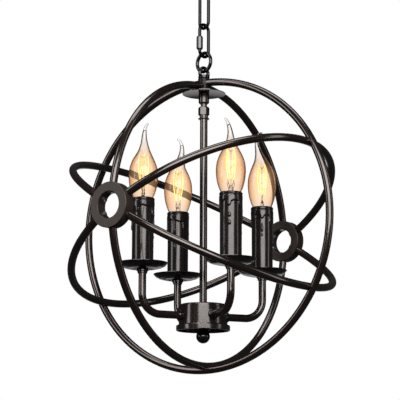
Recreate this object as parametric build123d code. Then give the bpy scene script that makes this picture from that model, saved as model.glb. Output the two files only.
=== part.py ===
from build123d import *
import os
from math import sin, cos, asin, sqrt, radians, degrees

os.makedirs("parts", exist_ok=True)

# ---------------------------------------------------------------- dimensions
# Millimetres. Everything is drawn about the centre of the orb (z = 0 there)
# and moved down by ceiling_drop when it is written, so that the origin of the
# part is the middle of the ceiling face, with +Z up into the ceiling.
ceiling_drop = 363.0

tube_r = 5.0            # hoop tube, outside radius
tube_bore = 4.0         # hoop tube, inside radius
inner_hoop_r = 185.0    # centre line of the upright hoop and both tilted hoops
outer_hoop_r = 190.5    # centre line of the outer hoop
outer_hoop_turn = 3.0   # outer hoop stands this far from square, degrees
tilt = 30.0             # tilted hoops, degrees from level
lap_r = 187.75          # face where two crossing hoops are let into each other
lap_half = 5.15         # half length of each lap along the tube
lap_wall = 1.0

hub_or, hub_ir, hub_w = 28.5, 16.7, 15.0
hub_screw_x = 182.2     # plane of the hub screws
hub_seat = 17.9         # floor of the counterbore under a screw head

candle_pcr = 85.4       # candles on this radius
candle_az = [151.2, 61.2, 241.2, -28.8]

arm_z = -120.5
arm_bend = 25.0
arm_r, arm_bore = 5.0, 3.8
arm_top = -46.5

wire_r = 2.2            # chain wire
eye_wire_r = 2.3        # wire of both screwed eyes
ring_wire_r = 2.4       # wire of the round ring
link_half = 8.2         # half width of a link, to the wire's centre
hang_gap = 0.3          # daylight left between two hanging wires
chain_turn = -8.1       # the chain's planes stand this far from X and Y

# heights of the hanging hardware, wire centres
eye_c, eye_R = 203.7, 7.6
eye_top = eye_c + eye_R
ring_bot = eye_top - eye_wire_r - hang_gap - ring_wire_r
ring_R = 12.6
ring_c = ring_bot + ring_R
ring_top = ring_c + ring_R
quick_bot = ring_top - ring_wire_r - hang_gap - wire_r
quick_len = 44.0        # between the wire centres of its two bows
quick_top = quick_bot + quick_len
link_bot = quick_top - wire_r - hang_gap - wire_r
link_len = 49.6
link_top = link_bot + link_len
canopy_eye_R = 8.2
canopy_eye_bot = link_top - wire_r - hang_gap - eye_wire_r
canopy_eye_c = canopy_eye_bot + canopy_eye_R

nut_len = 18.2          # sleeve nut of the quick link
nut_travel = 9.2
gate_gap = 5.0

ceiling = ceiling_drop
canopy_r = 60.0

DOWN = Pos(0, 0, -ceiling_drop)


# ------------------------------------------------------------------- helpers
def polar(r, deg):
    return r * cos(radians(deg)), r * sin(radians(deg))


def cyl(r, z0, z1, x=0.0, y=0.0):
    return Pos(x, y, (z0 + z1) / 2) * Cylinder(r, z1 - z0)


def pipe(ro, ri, z0, z1, x=0.0, y=0.0):
    return cyl(ro, z0, z1, x, y) - cyl(ri, z0 - 1, z1 + 1, x, y)


def hexbar(across_flats, z0, z1):
    r = across_flats / 2 / cos(radians(30))
    return Pos(0, 0, z0) * extrude(RegularPolygon(r, 6), amount=z1 - z0)


def turned(points):
    """A turned piece from its half section, a list of (radius, height)."""
    face = Plane.XZ * make_face(Polyline(*[(p[0], p[1]) for p in points], close=True))
    return revolve(face, Axis.Z, 360)


def hoop(plane, R, r, a0, a1):
    """A bent round bar on a circle of radius R in the given plane."""
    section = Plane.XZ * Pos(R, 0, 0) * Circle(r)
    bar = revolve(section, Axis.Z, a1 - a0)
    return plane.location * (Rot(0, 0, a0) * bar)


def wire_loop(half, r, z0, z1, turn):
    """An upright link: two bows and two straight legs, wire centres z0..z1."""
    low, high = z0 + half, z1 - half
    bow_plane = Plane(origin=(0, 0, 0), x_dir=(1, 0, 0), z_dir=(0, -1, 0))
    top = Pos(0, 0, high) * hoop(bow_plane, half, r, 0, 180)
    bot = Pos(0, 0, low) * hoop(bow_plane, half, r, 180, 360)
    legs = cyl(r, low, high, half, 0) + cyl(r, low, high, -half, 0)
    return Rot(0, 0, turn) * (top + bot + legs)


def eye(R, r, zc, turn):
    plane = Plane(origin=(0, 0, 0), x_dir=(1, 0, 0), z_dir=(0, -1, 0))
    return Rot(0, 0, turn) * (Pos(0, 0, zc) * hoop(plane, R, r, 0, 360))


written = []


def save(name, shape):
    solids = shape.solids()
    body = DOWN * (Compound(children=list(solids)) if len(solids) > 1 else solids[0])
    export_step(body, f"parts/{name}.step")
    written.append((name, len(solids), sum(s.volume for s in solids)))


# ------------------------------------------------------- planes of the hoops
c30, s30 = cos(radians(tilt)), sin(radians(tilt))
cb, sb = cos(radians(outer_hoop_turn)), sin(radians(outer_hoop_turn))
plane_up = Plane(origin=(0, 0, 0), x_dir=(1, 0, 0), z_dir=(0, -1, 0))
plane_out = Plane(origin=(0, 0, 0), x_dir=(-sb, cb, 0), z_dir=(cb, sb, 0))
plane_c = Plane(origin=(0, 0, 0), x_dir=(1, 0, 0), z_dir=(0, s30, c30))
plane_d = Plane(origin=(0, 0, 0), x_dir=(1, 0, 0), z_dir=(0, -s30, c30))

n_out = Vector(cb, sb, 0)
n_c = Vector(0, s30, c30)
n_d = Vector(0, -s30, c30)
n_up = Vector(0, -1, 0)


def crossing(n, front):
    v = n_out.cross(n).normalized()
    if (v.Y < 0) != front:
        v = v * -1
    return v


cross_c_front, cross_c_back = crossing(n_c, True), crossing(n_c, False)
cross_d_front, cross_d_back = crossing(n_d, True), crossing(n_d, False)
cross_bottom = Vector(0, 0, -1)


def lap_box(v, n, r0, r1, half):
    """Block between radii r0 and r1 along v, on a tube whose hoop has normal n."""
    t = n.cross(v).normalized()
    pl = Plane(origin=v * ((r0 + r1) / 2), x_dir=t, z_dir=v)
    return pl.location * Box(2 * half, 18, r1 - r0)


def lapped(bar, bore, n, cuts, outer):
    """Tube let into the hoops that it crosses, with a closed floor at each lap."""
    tube = bar - bore
    for v in cuts:
        if outer:      # the outer hoop loses the side that faces the centre
            liner = bar & lap_box(v, n, 170, lap_r + lap_wall, lap_half + lap_wall)
            notch = lap_box(v, n, 165, lap_r, lap_half)
        else:
            liner = bar & lap_box(v, n, lap_r - lap_wall, 205, lap_half + lap_wall)
            notch = lap_box(v, n, lap_r, 210, lap_half)
        tube = (tube + liner) - notch
    return tube


hub_cut = Rot(0, 90, 0) * Cylinder(hub_or, 440)


# ---------------------------------------------------------------- hoop tubes
def inner_arc(plane, n, a0, a1, cuts=()):
    bar = hoop(plane, inner_hoop_r, tube_r, a0, a1)
    bore = hoop(plane, inner_hoop_r, tube_bore, a0 - 0.3, a1 + 0.3)
    bar = bar - hub_cut
    return lapped(bar, bore, n, cuts, False)


end_a = degrees(asin(5.8 / inner_hoop_r))
end_b = degrees(asin(5.8 / outer_hoop_r))
start = 7.4

save("upright_hoop_top_right", inner_arc(plane_up, n_up, start, 90 - end_a))
save("upright_hoop_top_left", inner_arc(plane_up, n_up, 90 + end_a, 180 - start))
save("upright_hoop_bottom", inner_arc(plane_up, n_up, 180 + start, 360 - start, [cross_bottom]))
save("tilted_hoop_a_front", inner_arc(plane_c, n_c, 180 + start, 360 - start, [cross_c_front]))
save("tilted_hoop_a_back", inner_arc(plane_c, n_c, start, 180 - start, [cross_c_back]))
save("tilted_hoop_b_front", inner_arc(plane_d, n_d, 180 + start, 360 - start, [cross_d_front]))
save("tilted_hoop_b_back", inner_arc(plane_d, n_d, start, 180 - start, [cross_d_back]))

outer_bar = hoop(plane_out, outer_hoop_r, tube_r, 90 + end_b, 450 - end_b)
outer_bore = hoop(plane_out, outer_hoop_r, tube_bore, 90 + end_b - 0.2, 450 - end_b + 0.2)
save("outer_hoop", lapped(outer_bar, outer_bore, n_out,
                          [cross_c_front, cross_c_back, cross_d_front, cross_d_back, cross_bottom], True))

# ------------------------------------------------------------ two hub rings
hub_angles = [30, 90, 150, 210, 270, 330]


def radial_x(side, ang):
    """Frame whose Z runs out from the hub's axis at the given angle in the YZ plane."""
    d = (0, cos(radians(ang)), sin(radians(ang)))
    return Plane(origin=(side * hub_screw_x, 0, 0), x_dir=(1, 0, 0), z_dir=d).location


def hub_ring(side):
    blank = Rot(0, 90, 0) * (Cylinder(hub_or, hub_w) - Cylinder(hub_ir, hub_w + 2))
    blank = chamfer(blank.edges().filter_by(GeomType.CIRCLE), 0.6)
    blank = Pos(side * inner_hoop_r, 0, 0) * blank
    for a in hub_angles:
        f = radial_x(side, a)
        blank = blank - f * cyl(2.1, 10, 30) - f * cyl(3.8, 8, hub_seat)
    return blank


save("hub_ring_left", hub_ring(-1))
save("hub_ring_right", hub_ring(1))

screw = cyl(2.0, hub_seat, 38.0) + cyl(3.5, 15.4, hub_seat)
screw = screw - hexbar(2.5, 15.0, 17.0)
hub_screws = [radial_x(s, a) * screw for s in (-1, 1) for a in hub_angles]
save("hub_screws", Compound(children=[h.solids()[0] for h in hub_screws]))

plugs = []
p0, p1 = 7.4, 12.9
for pl in (plane_up, plane_c, plane_d):
    for a0, a1 in ((p0, p1), (-p1, -p0), (180 - p1, 180 - p0), (180 + p0, 180 + p1)):
        plug = hoop(pl, inner_hoop_r, tube_bore - 0.05, a0, a1) - hub_cut
        c = plug.center()
        side = 1 if c.X > 0 else -1
        for a in hub_angles:
            d = (cos(radians(a)), sin(radians(a)))
            if c.Y * d[0] + c.Z * d[1] > 25:
                plug = plug - radial_x(side, a) * cyl(2.02, 20, 60)
        plugs.append(plug.solids()[0])
save("hoop_end_plugs", Compound(children=plugs))

# ------------------------------------------------------- top of the orb, stem
block = cyl(7.85, 178.8, 196.8)
block = chamfer(block.edges().filter_by(GeomType.CIRCLE), 0.6)
for a0, a1 in ((60, 90 - end_a), (90 + end_a, 120)):
    block = block - hoop(plane_up, inner_hoop_r, tube_r + 0.02, a0, a1)
for a0, a1 in ((60, 90 - end_b), (90 + end_b, 120)):
    block = block - hoop(plane_out, outer_hoop_r, tube_r + 0.02, a0, a1)
block = block - cyl(5.02, 170, 200)
save("top_cross_block", block)

loop_collar = turned([(0, 196.9), (7.0, 196.9), (7.6, 197.5), (7.6, 199.6), (6.9, 201.0), (0, 201.0)])
top_eye = eye(eye_R, eye_wire_r, eye_c, chain_turn)
top_eye = top_eye - cyl(20, 150, 198.2)
save("top_eye", loop_collar + top_eye - cyl(5.02, 150, 200.6) - cyl(3.0, 200, 202.4))

save("top_nipple", pipe(5.0, 3.5, 171.0, 200.4))

cap = (Sphere(178.6) - Sphere(177.6)) & cyl(28.5, 160, 190)
save("top_disc", cap - cyl(5.04, 150, 190))

save("upper_coupling", turned([(0, 162.0), (5.6, 162.0), (7.0, 163.6), (7.0, 176.9), (6.5, 177.4), (0, 177.4)])
     - cyl(5.02, 171.0, 180) - cyl(4.27, 160, 171.5))
save("coupling_neck", pipe(4.25, 3.0, 151.5, 170.8))
lower = hexbar(13.0, 146.2, 157.6) & turned([(0, 146.2), (6.3, 146.2), (7.6, 147.6), (7.6, 156.0), (6.2, 157.6), (0, 157.6)])
save("lower_coupling", lower - cyl(4.27, 151.4, 160) - cyl(5.02, 140, 151.4))
save("stem_check_ring", turned([(5.02, 141.0), (7.0, 141.0), (7.6, 141.5), (7.6, 142.0), (7.0, 142.5), (5.7, 142.6),
                                (5.7, 146.1), (5.02, 146.1)]))
save("stem_tube", pipe(5.0, 3.8, -143.0, 151.2))

# --------------------------------------------------------------- middle body
body_profile = [(5.02, -105.0), (28.7, -105.0), (30.4, -105.5), (31.4, -106.6), (31.7, -108.2), (31.7, -131.6),
                (32.2, -132.2), (34.4, -132.6), (35.0, -133.3), (35.0, -138.9), (34.5, -139.5), (33.7, -139.5),
                (33.7, -133.8), (30.5, -133.6), (30.5, -108.4), (30.0, -107.2), (28.4, -106.5), (5.02, -106.5)]
body = turned(body_profile)


def arm_frame(az):
    """Frame at the body's axis whose Z runs out along the arm."""
    d = polar(1, az)
    return Plane(origin=(0, 0, arm_z), x_dir=(0, 0, 1), z_dir=(d[0], d[1], 0)).location


for az in candle_az:
    body = body - arm_frame(az) * cyl(5.04, 20, 40)
save("body_cup", body)

save("bottom_cover", turned([(5.04, -135.0), (32.9, -135.0), (33.4, -134.6), (33.4, -133.9), (5.04, -133.9)]))
neck = turned([(0, -136.9), (6.2, -136.9), (6.7, -136.4), (6.7, -135.6), (6.2, -135.05), (0, -135.05)])
waist = cyl(5.9, -140.5, -136.8)
ball = Pos(0, 0, -146.8) * Sphere(9.0)
save("finial", neck + waist + ball - cyl(5.02, -143.4, -130))
save("stem_lock_nut", hexbar(15.0, -111.2, -106.6) - cyl(5.02, -120, -100))

collar = turned([(5.02, 29.0), (6.9, 29.0), (6.9, 34.3), (6.2, 35.4), (5.02, 35.4)])
collars, nuts = [], []
shell = cyl(31.72, -160, -90)
for az in candle_az:
    collars.append(((arm_frame(az) * collar) - shell).solids()[0])
    nuts.append((arm_frame(az) * (hexbar(13.0, 25.8, 29.0) - cyl(5.02, 20, 36))).solids()[0])
save("arm_collars", Compound(children=collars))
save("arm_lock_nuts", Compound(children=nuts))

# ---------------------------------------------------------------------- arms
for i, az in enumerate(candle_az, 1):
    r_in = 25.2
    r_flat = candle_pcr - arm_bend
    run = Pos(0, 0, 0) * (Plane(origin=(r_in, 0, arm_z), x_dir=(0, 1, 0), z_dir=(1, 0, 0)).location
                          * (Pos(0, 0, (r_flat - r_in) / 2) * (Cylinder(arm_r, r_flat - r_in) - Cylinder(arm_bore, r_flat - r_in))))
    bend_plane = Plane(origin=(r_flat, 0, arm_z + arm_bend), x_dir=(1, 0, 0), z_dir=(0, -1, 0))
    bend = hoop(bend_plane, arm_bend, arm_r, -90, 0) - hoop(bend_plane, arm_bend, arm_bore, -90, 0)
    post = pipe(arm_r, arm_bore, arm_z + arm_bend, arm_top, candle_pcr, 0)
    save(f"arm_{i}", Rot(0, 0, az) * (run + bend + post))

# -------------------------------------------- candle fittings, one per arm
check_profile = [(5.02, -69.2), (6.1, -69.2), (6.3, -68.8), (6.3, -66.7), (7.2, -66.5), (7.6, -66.0), (7.6, -64.1),
                 (7.2, -63.6), (5.02, -63.6)]
pan_profile = [(5.04, -63.5), (16.0, -63.5), (20.5, -62.9), (25.5, -61.5), (29.5, -59.4), (31.9, -56.6), (32.5, -56.2),
               (32.8, -55.6), (32.4, -55.1), (31.7, -55.2), (31.2, -55.8), (28.9, -58.5), (25.1, -60.5), (20.3, -61.9),
               (16.0, -62.5), (5.04, -62.5)]
sleeve_profile = [(13.0, -62.4), (14.2, -62.4), (14.2, 18.6), (14.9, 19.6), (15.0, 21.2), (14.9, 26.8), (14.5, 28.4),
                  (13.9, 29.0), (13.2, 28.6), (13.0, 27.8)]
holder_profile = [(5.02, -62.4), (8.0, -62.4), (8.0, -36.0), (12.4, -33.0), (12.4, 17.6), (11.9, 18.2), (7.2, 18.2),
                  (7.2, -9.0), (3.0, -9.0), (3.0, -46.0), (5.02, -46.0)]
base_profile = [(5.3, -2.6), (6.5, -2.0), (6.9, -1.0), (6.9, 20.0), (6.2, 20.0), (6.2, -1.0), (5.1, -2.0)]
tip_profile = [(0, -6.0), (1.9, -6.0), (2.4, -5.4), (2.4, -4.4), (5.25, -2.65), (5.05, -2.05), (0, -2.05)]
mount_profile = [(0, 12.0), (2.4, 12.0), (5.2, 14.0), (5.4, 15.4), (3.6, 18.5), (2.3, 23.0), (2.0, 38.0), (2.6, 40.2),
                 (1.5, 41.6), (0.8, 42.2), (0.7, 83.0), (0, 84.0)]
glass_out = [(5.95, 16.2), (6.05, 19.6), (7.4, 21.6), (10.0, 25.0), (12.4, 29.0), (15.2, 35.5), (17.8, 45.0), (19.0, 55.0),
             (19.0, 62.0), (17.9, 70.5), (14.9, 79.5), (11.2, 87.0), (7.7, 94.0), (5.0, 101.5), (3.2, 109.5), (2.1, 118.0),
             (1.3, 126.0), (0.0, 129.0)]
glass_wall = 0.7


def glass_envelope():
    outer = Spline(*[(r, z) for r, z in glass_out[:-1]])
    cap_out = Line(outer @ 1, (0, glass_out[-1][1]))
    inner_pts = [(max(r - glass_wall, 0.25), z) for r, z in glass_out[:-4]]
    inner = Spline(*inner_pts)
    cap_in = Line(inner @ 1, (0, inner_pts[-1][1] + 2.5))
    axis = Line(cap_in @ 1, cap_out @ 1)
    mouth = Line(inner @ 0, outer @ 0)
    face = make_face([outer, cap_out, axis, cap_in, inner, mouth])
    return revolve(Plane.XZ * face, Axis.Z, 360)


check_one, pan_one, sleeve_one = turned(check_profile), turned(pan_profile), turned(sleeve_profile)
holder_one, shell_one, tip_one, mount_one = turned(holder_profile), turned(base_profile), turned(tip_profile), turned(mount_profile)
glass_one = glass_envelope()

filaments = []
for k in range(6):
    x0, y0 = polar(2.6, 60 * k)
    x1, y1 = polar(6.0, 60 * k + 22)
    a, b = Vector(x0, y0, 43.0), Vector(x1, y1, 78.0)
    pl = Plane(origin=(a + b) * 0.5, z_dir=b - a)
    filaments.append(pl.location * Cylinder(0.3, (b - a).length))

checks, holders = [], []
for i, az in enumerate(candle_az, 1):
    x, y = polar(candle_pcr, az)
    at = Pos(x, y, 0) * Rot(0, 0, az)
    checks.append((at * check_one).solids()[0])
    holders.append((at * holder_one).solids()[0])
    save(f"drip_pan_{i}", at * pan_one)
    save(f"candle_sleeve_{i}", at * sleeve_one)
    save(f"bulb_{i}_glass", at * glass_one)
    inner_parts = [shell_one, tip_one, mount_one] + filaments
    save(f"bulb_{i}_base", Compound(children=[(at * p).solids()[0] for p in inner_parts]))
save("arm_check_rings", Compound(children=checks))
save("lampholders", Compound(children=holders))

# --------------------------------------------------------- chain and ring
ring_plane = Plane(origin=(0, 0, ring_c), x_dir=(0, 1, 0), z_dir=(1, 0, 0))
save("hanging_ring", Rot(0, 0, chain_turn) * hoop(ring_plane, ring_R, ring_wire_r, 0, 360))

leg_x = -link_half
nut_low = quick_bot + link_half + 0.4
gap_low = nut_low + 4.0
quick = wire_loop(link_half, wire_r, quick_bot, quick_top, 0)
quick = quick - Pos(leg_x, 0, gap_low + gate_gap / 2) * Box(8, 8, gate_gap)
save("quick_link", Rot(0, 0, chain_turn) * quick)

sleeve_nut = turned([(2.24, nut_low), (3.5, nut_low), (4.3, nut_low + 1.6), (4.3, nut_low + nut_len - 1.6),
                     (3.5, nut_low + nut_len), (2.24, nut_low + nut_len)])
sleeve_nut = sleeve_nut & hexbar(8.0, nut_low - 1, nut_low + nut_len + 1)
save("quick_link_nut", Rot(0, 0, chain_turn) * (Pos(leg_x, 0, 0) * sleeve_nut))

link = wire_loop(link_half, wire_r, link_bot, link_top, 0)
link = link - Pos(link_half, 0, 289.4) * (Rot(0, 12, 0) * Box(10, 10, 0.3))
save("chain_link", Rot(0, 0, chain_turn + 90) * link)

# ------------------------------------------------------- ceiling fitting
canopy_eye = eye(canopy_eye_R, eye_wire_r, canopy_eye_c, chain_turn) - cyl(20, 325.5, 345)
collar_z0, collar_z1 = 323.0, 334.9
canopy_collar = turned([(0, collar_z0), (6.8, collar_z0), (8.4, collar_z0 + 2), (8.4, collar_z1 - 1.2), (7.6, collar_z1), (0, collar_z1)])
save("canopy_eye", canopy_collar + canopy_eye - cyl(5.02, collar_z0 + 4, 345) - cyl(3.0, collar_z0 - 5, 345))

knurl = turned([(5.03, 335.0), (10.2, 335.0), (11.0, 335.8), (11.0, 338.2), (10.2, 339.0), (5.03, 339.0)])
notches = [Pos(*polar(11.3, 15 * k), 0) * cyl(0.7, 334, 340) for k in range(24)]
save("canopy_nut", knurl - notches)

canopy_profile = [(5.1, 339.0), (14.0, 339.0), (24.0, 340.6), (36.0, 344.0), (46.0, 348.4), (53.5, 353.4), (58.0, 357.8),
                  (60.0, 361.4), (60.0, 363.0), (58.9, 363.0), (58.9, 361.6), (57.1, 358.4), (52.8, 354.2), (45.5, 349.4),
                  (35.6, 345.1), (23.8, 341.7), (13.9, 340.1), (5.1, 340.1)]
save("ceiling_canopy", turned(canopy_profile))

bar = Pos(0, 0, 361.75) * Box(104, 22, 2.5)
bar = fillet(bar.edges().filter_by(Axis.Z), 4)
bar = bar - cyl(5.02, 350, 370)
for sx in (-1, 1):
    bar = bar - Pos(sx * 35, 0, 361.75) * extrude(SlotOverall(16, 5.2), amount=5, both=True)
save("ceiling_crossbar", bar)

save("canopy_nipple", pipe(5.0, 3.5, collar_z0 + 4.4, 362.9))
nut = hexbar(14.0, 0, 4.2) & turned([(0, 0), (7.2, 0), (8.1, 0.6), (8.1, 3.6), (7.2, 4.2), (0, 4.2)])
nut = nut - cyl(5.02, -1, 6)
save("nipple_lock_nuts", Compound(children=[(Pos(0, 0, 356.2) * nut).solids()[0], (Pos(0, 0, 340.2) * nut).solids()[0]]))

for name, count, volume in written:
    print(f"{name:26s} {count:3d} {volume:12.1f}")
print(len(written), "nodes")
print("ring wire", round(ring_bot, 2), round(ring_top, 2), "quick", round(quick_bot, 2), round(quick_top, 2),
      "link", round(link_bot, 2), round(link_top, 2), "canopy eye", round(canopy_eye_bot, 2), "nut", round(nut_low, 2))
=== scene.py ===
import bpy
import math
import random
from mathutils import Vector, Matrix


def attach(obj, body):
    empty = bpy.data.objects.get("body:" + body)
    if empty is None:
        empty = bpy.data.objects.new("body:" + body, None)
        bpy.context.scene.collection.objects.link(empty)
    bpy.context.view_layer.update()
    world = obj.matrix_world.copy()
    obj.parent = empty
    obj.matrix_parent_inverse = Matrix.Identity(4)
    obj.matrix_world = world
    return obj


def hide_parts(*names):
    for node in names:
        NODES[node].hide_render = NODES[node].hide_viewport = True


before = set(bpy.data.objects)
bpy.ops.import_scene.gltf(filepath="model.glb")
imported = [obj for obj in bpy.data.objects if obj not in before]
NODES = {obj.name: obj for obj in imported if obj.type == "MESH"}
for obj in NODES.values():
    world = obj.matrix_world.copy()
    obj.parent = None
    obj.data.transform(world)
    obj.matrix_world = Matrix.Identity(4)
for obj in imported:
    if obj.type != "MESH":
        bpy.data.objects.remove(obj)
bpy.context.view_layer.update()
random.seed(7)

MM = 0.001
ZC = -0.363                                   # the orb's centre, in the row frame


def P(x, y, z):
    """Millimetres about the orb's centre to row-frame metres."""
    return Vector((x * MM, y * MM, z * MM + ZC))


# ------------------------------------------------------------------ camera
AZ, EL, ROLL, DIST = math.radians(-52.69), math.radians(-9.16), math.radians(0.2), 2.210
FOCAL_PX, IMG = 1686.65, 400.0
CENTRE_PX = (203.53, 224.65)                  # where the orb's centre falls
back = Vector((math.sin(AZ) * math.cos(EL), -math.cos(AZ) * math.cos(EL), math.sin(EL)))
side = back.cross(Vector((0, 0, 1))).normalized() * -1
up = side.cross(-back).normalized()
aim_x = math.atan((CENTRE_PX[0] - IMG / 2) / FOCAL_PX)
aim_y = math.atan((CENTRE_PX[1] - IMG / 2) / FOCAL_PX)
fwd = (-back).copy()
fwd = Matrix.Rotation(aim_x, 3, up) @ fwd
fwd = Matrix.Rotation(aim_y, 3, side) @ fwd
s2 = fwd.cross(up).normalized()
u2 = s2.cross(fwd).normalized()
s3 = s2 * math.cos(ROLL) + u2 * math.sin(ROLL)
u3 = -s2 * math.sin(ROLL) + u2 * math.cos(ROLL)
cam_data = bpy.data.cameras.new("Camera")
cam_data.sensor_width = 36.0
cam_data.lens = FOCAL_PX / IMG * 36.0
cam_data.clip_start, cam_data.clip_end = 0.05, 60.0
cam = bpy.data.objects.new("Camera", cam_data)
bpy.context.scene.collection.objects.link(cam)
eye = Vector((0, 0, ZC)) + back * DIST
cam.matrix_world = Matrix(((s3.x, u3.x, -fwd.x, eye.x), (s3.y, u3.y, -fwd.y, eye.y), (s3.z, u3.z, -fwd.z, eye.z), (0, 0, 0, 1)))
bpy.context.scene.camera = cam
RIGHT = Vector((side.x, side.y, 0)).normalized()      # level direction to the right in the picture
TOCAM = Vector((back.x, back.y, 0)).normalized()

# ------------------------------------------------------------- node helpers


class Mat:
    def __init__(self, name):
        self.m = bpy.data.materials.new(name)
        self.m.use_nodes = True
        self.nt = self.m.node_tree
        self.bsdf = self.nt.nodes["Principled BSDF"]
        self.out = self.nt.nodes["Material Output"]

    def n(self, kind, **kw):
        node = self.nt.nodes.new(kind)
        for k, v in kw.items():
            if k.startswith("i_"):
                node.inputs[k[2:].replace("_", " ")].default_value = v
            else:
                setattr(node, k, v)
        return node

    def link(self, a, b):
        self.nt.links.new(a, b)

    def set(self, **kw):
        for k, v in kw.items():
            self.bsdf.inputs[k.replace("_", " ")].default_value = v

    def coords(self, scale=(1, 1, 1), rot=(0, 0, 0)):
        tc = self.n("ShaderNodeTexCoord")
        mp = self.n("ShaderNodeMapping")
        mp.inputs["Scale"].default_value = scale
        mp.inputs["Rotation"].default_value = rot
        self.link(tc.outputs["Object"], mp.inputs["Vector"])
        return mp.outputs["Vector"]

    def noise(self, scale, detail=3.0, rough=0.5, vec=None, distortion=0.0):
        t = self.n("ShaderNodeTexNoise")
        t.inputs["Scale"].default_value = scale
        t.inputs["Detail"].default_value = detail
        t.inputs["Roughness"].default_value = rough
        t.inputs["Distortion"].default_value = distortion
        self.link(vec if vec is not None else self.coords(), t.inputs["Vector"])
        return t.outputs["Fac"]

    def ramp(self, fac, stops):
        r = self.n("ShaderNodeValToRGB")
        el = r.color_ramp.elements
        while len(el) < len(stops):
            el.new(0.5)
        for e, (p, c) in zip(el, stops):
            e.position = p
            e.color = c if len(c) == 4 else (*c, 1)
        self.link(fac, r.inputs["Fac"])
        return r.outputs["Color"]

    def maprange(self, fac, a, b, c, d):
        r = self.n("ShaderNodeMapRange")
        for k, v in (("From Min", a), ("From Max", b), ("To Min", c), ("To Max", d)):
            r.inputs[k].default_value = v
        self.link(fac, r.inputs["Value"])
        return r.outputs["Result"]

    def mixc(self, fac, a, b):
        r = self.n("ShaderNodeMix", data_type="RGBA")
        if isinstance(fac, (int, float)):
            r.inputs[0].default_value = fac
        else:
            self.link(fac, r.inputs[0])
        for sock, v in ((r.inputs[6], a), (r.inputs[7], b)):
            if isinstance(v, tuple):
                sock.default_value = v if len(v) == 4 else (*v, 1)
            else:
                self.link(v, sock)
        return r.outputs[2]

    def math(self, op, a, b=None):
        r = self.n("ShaderNodeMath", operation=op)
        for sock, v in zip(r.inputs, (a, b)):
            if v is None:
                continue
            if isinstance(v, (int, float)):
                sock.default_value = v
            else:
                self.link(v, sock)
        return r.outputs[0]

    def bump(self, height, strength, distance, normal=None):
        b = self.n("ShaderNodeBump")
        b.inputs["Strength"].default_value = strength
        b.inputs["Distance"].default_value = distance
        self.link(height, b.inputs["Height"])
        if normal is not None:
            self.link(normal, b.inputs["Normal"])
        return b.outputs["Normal"]


def enamel(name, dark, light, edge, rough, spread, coat, coat_rough, bump_mm, wear=0.5, spec=0.5, warm=(1, 1, 1)):
    """Baked bronze enamel: mottled colour, faint orange-peel surface, edges rubbed a little lighter."""
    m = Mat(name)
    cloud = m.noise(38.0, 4.0, 0.6)
    fine = m.noise(130.0, 2.0, 0.5)
    col = m.ramp(cloud, [(0.32, dark), (0.68, light)])
    speck = m.maprange(fine, 0.58, 0.78, 0.0, 0.25)
    col = m.mixc(speck, col, tuple(c * 1.45 for c in light))
    if wear > 0:
        geo = m.n("ShaderNodeNewGeometry")
        worn = m.math("MULTIPLY", m.maprange(geo.outputs["Pointiness"], 0.53, 0.60, 0.0, 1.0), m.maprange(cloud, 0.40, 0.65, 0.2, 1.0))
        col = m.mixc(m.math("MULTIPLY", worn, wear), col, edge)
    m.link(col, m.bsdf.inputs["Base Color"])
    r = m.maprange(m.math("ADD", m.math("MULTIPLY", cloud, 0.6), m.math("MULTIPLY", fine, 0.4)), 0.3, 0.7, rough - spread, rough + spread)
    m.link(r, m.bsdf.inputs["Roughness"])
    wave = m.noise(70.0, 1.0, 0.5)
    m.link(m.bump(wave, 0.20, bump_mm * MM), m.bsdf.inputs["Normal"])
    m.bsdf.inputs["Coat Weight"].default_value = coat
    m.bsdf.inputs["Coat Roughness"].default_value = coat_rough
    m.bsdf.inputs["Specular IOR Level"].default_value = spec
    m.bsdf.inputs["Specular Tint"].default_value = (*warm, 1)
    return m.m


TUBE = enamel("hoop_enamel", (0.0075, 0.0043, 0.0034), (0.0125, 0.0078, 0.0064), (0.05, 0.035, 0.028), 0.17, 0.02, 0.45, 0.07, 0.02, 0.0, 1.0, (1.0, 0.86, 0.80))
BRONZE = enamel("bronze_enamel", (0.0080, 0.0050, 0.0041), (0.0140, 0.0093, 0.0078), (0.05, 0.036, 0.028), 0.21, 0.03, 0.45, 0.08, 0.02, 0.3, 0.8, (1.0, 0.88, 0.84))
HUB = enamel("hub_enamel", (0.0165, 0.0110, 0.0087), (0.0225, 0.0158, 0.0130), (0.055, 0.040, 0.033), 0.44, 0.04, 0.05, 0.25, 0.02, 0.4, 0.5, (1.0, 0.88, 0.82))
CHAIN = enamel("chain_enamel", (0.0020, 0.0015, 0.0014), (0.0042, 0.0034, 0.0031), (0.030, 0.023, 0.020), 0.10, 0.015, 0.06, 0.03, 0.02, 0.1, 0.26)
LOOP = enamel("loop_enamel", (0.0022, 0.0017, 0.0016), (0.0046, 0.0038, 0.0034), (0.030, 0.023, 0.020), 0.09, 0.015, 0.35, 0.03, 0.02, 0.1, 0.55)
NUT = enamel("sleeve_nut_enamel", (0.0050, 0.0040, 0.0038), (0.0085, 0.0070, 0.0066), (0.040, 0.032, 0.029), 0.16, 0.02, 0.6, 0.05, 0.02, 0.2, 0.9, (1.0, 0.95, 0.93))
# the top crossing block gets a darker enamel than the other bronze parts: painted shade where the top disc shadows the
# crossing
CROSSING_PAINTED_SHADE = enamel("crossing_painted_shade_enamel", (0.0030, 0.0022, 0.0020), (0.0060, 0.0046, 0.0042), (0.030, 0.023, 0.020), 0.34, 0.03, 0.0, 0.2, 0.02, 0.2, 0.22)
GLOSS = enamel("gloss_bronze", (0.0038, 0.0030, 0.0027), (0.0075, 0.0058, 0.0053), (0.026, 0.019, 0.016), 0.17, 0.02, 0.6, 0.05, 0.02, 0.2)


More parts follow.
